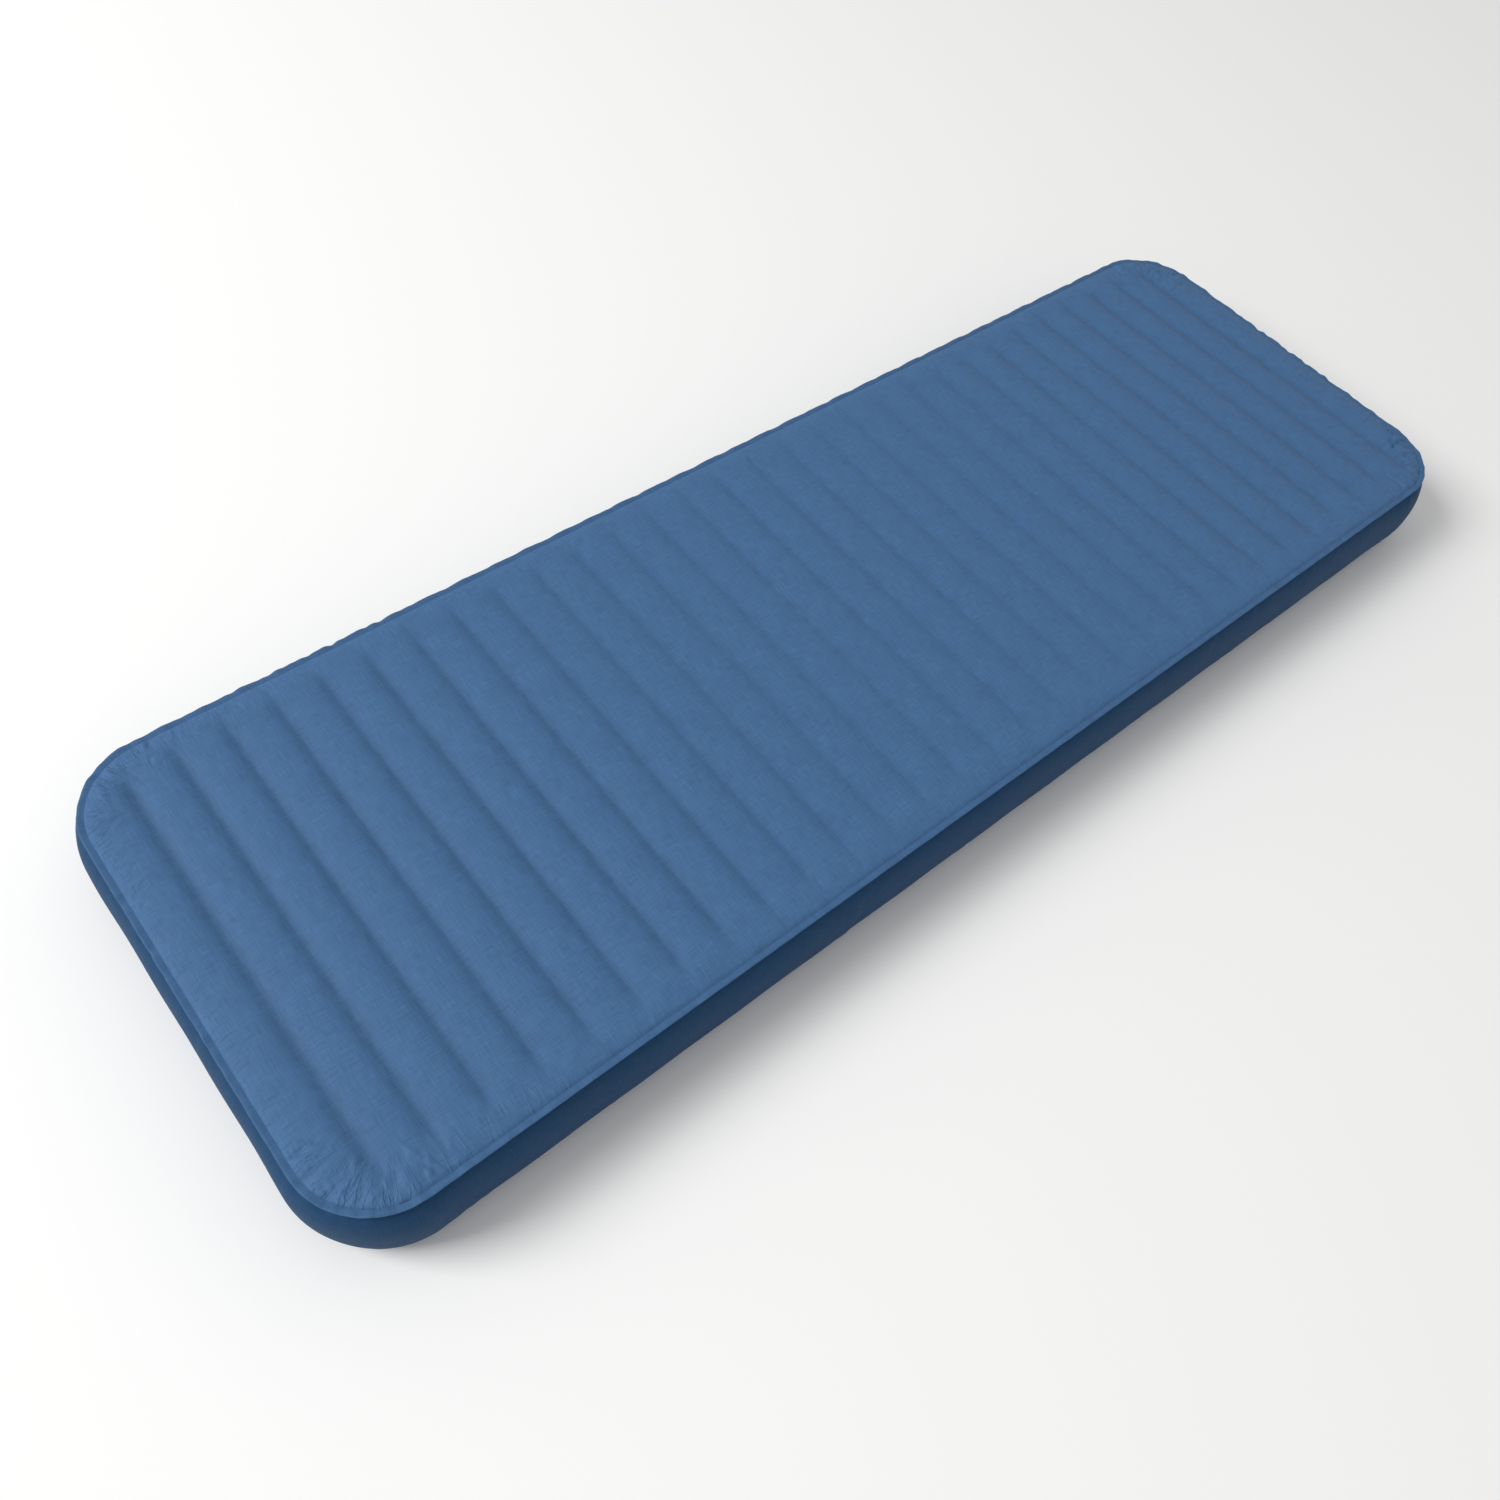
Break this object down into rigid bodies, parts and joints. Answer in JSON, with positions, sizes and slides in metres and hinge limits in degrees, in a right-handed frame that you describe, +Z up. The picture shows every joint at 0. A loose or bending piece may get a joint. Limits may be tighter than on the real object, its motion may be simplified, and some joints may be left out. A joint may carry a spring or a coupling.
{
  "type": "air mattress",
  "caption": "Boxed self-inflating camping mattress with a crosswise grooved top, welded side wall, foam core and flat air valves.",
  "frame": {"origin": "on the ground at the middle of the whole object's box", "axes": "+X along the mattress towards the end with the valves, +Y across it, +Z up"},
  "size_m": [2.0028, 0.684, 0.122],
  "materials": {
    "top_fabric": "matt woven polyester, blue",
    "flange_fabric": "welded woven polyester margin, blue",
    "side_fabric": "matt woven polyester, darker blue",
    "base_fabric": "matt coated polyester, dark blue",
    "patch_fabric": "coated polyester",
    "foam": "open-cell foam",
    "valve_plastic": "moulded plastic, black",
    "cap_plastic": "moulded plastic, dark blue",
    "seal_rubber": "soft rubber, black",
    "silicone": "silicone rubber, translucent grey",
    "pin_steel": "bright steel"
  },
  "bodies": {
    "root": {"bottom_panel": "base_fabric", "bottom_flange": "base_fabric", "side_wall": "side_fabric", "side_wall_joint_tape": "patch_fabric", "foam_core": "foam"},
    "top": {"top_panel": "top_fabric", "top_flange": "flange_fabric"},
    "inflate_valve": {"inflate_valve_patch": "patch_fabric", "inflate_valve_base": "valve_plastic", "inflate_valve_seat": "valve_plastic", "inflate_valve_screen": "valve_plastic", "inflate_hinge_pin": "pin_steel"},
    "inflate_cap": {"inflate_valve_cap": "cap_plastic", "inflate_cap_gasket": "seal_rubber"},
    "inflate_flap": {"inflate_valve_flap": "silicone"},
    "deflate_valve": {"deflate_valve_patch": "patch_fabric", "deflate_valve_base": "valve_plastic", "deflate_valve_screen": "valve_plastic", "deflate_hinge_pin": "pin_steel"},
    "deflate_cap": {"deflate_valve_cap": "cap_plastic", "deflate_cap_gasket": "seal_rubber"}
  },
  "joints": [
    {"name": "compress", "type": "slide", "parent": "root", "child": "top", "axis": [0, 0, -1], "range_m": [0, 0.045], "stiffness_N_per_m": 6000, "springref_m": -0.01, "deforming": ["side_wall", "side_wall_joint_tape", "foam_core"]},
    {"name": "inflate_valve_sink", "type": "slide", "parent": "root", "child": "inflate_valve", "axis": [0, 0, -1], "range_m": [0, 0.023]},
    {"name": "deflate_valve_sink", "type": "slide", "parent": "root", "child": "deflate_valve", "axis": [0, 0, -1], "range_m": [0, 0.023]},
    {"name": "inflate_cap_hinge", "type": "hinge", "parent": "inflate_valve", "child": "inflate_cap", "pos_m": [0.99955, 0.15, 0.076], "axis": [0, -1, 0], "range_deg": [0, 165]},
    {"name": "deflate_cap_hinge", "type": "hinge", "parent": "deflate_valve", "child": "deflate_cap", "pos_m": [0.99955, -0.15, 0.076], "axis": [0, -1, 0], "range_deg": [0, 165]},
    {"name": "inflate_flap_lift", "type": "slide", "parent": "inflate_valve", "child": "inflate_flap", "axis": [-1, 0, 0], "range_m": [0, 0.0022], "stiffness_N_per_m": 20, "springref_m": -0.0005}
  ],
  "couplings": [
    {"joint": "inflate_valve_sink", "follows": "compress", "ratio": 0.51},
    {"joint": "deflate_valve_sink", "follows": "compress", "ratio": 0.51}
  ]
}
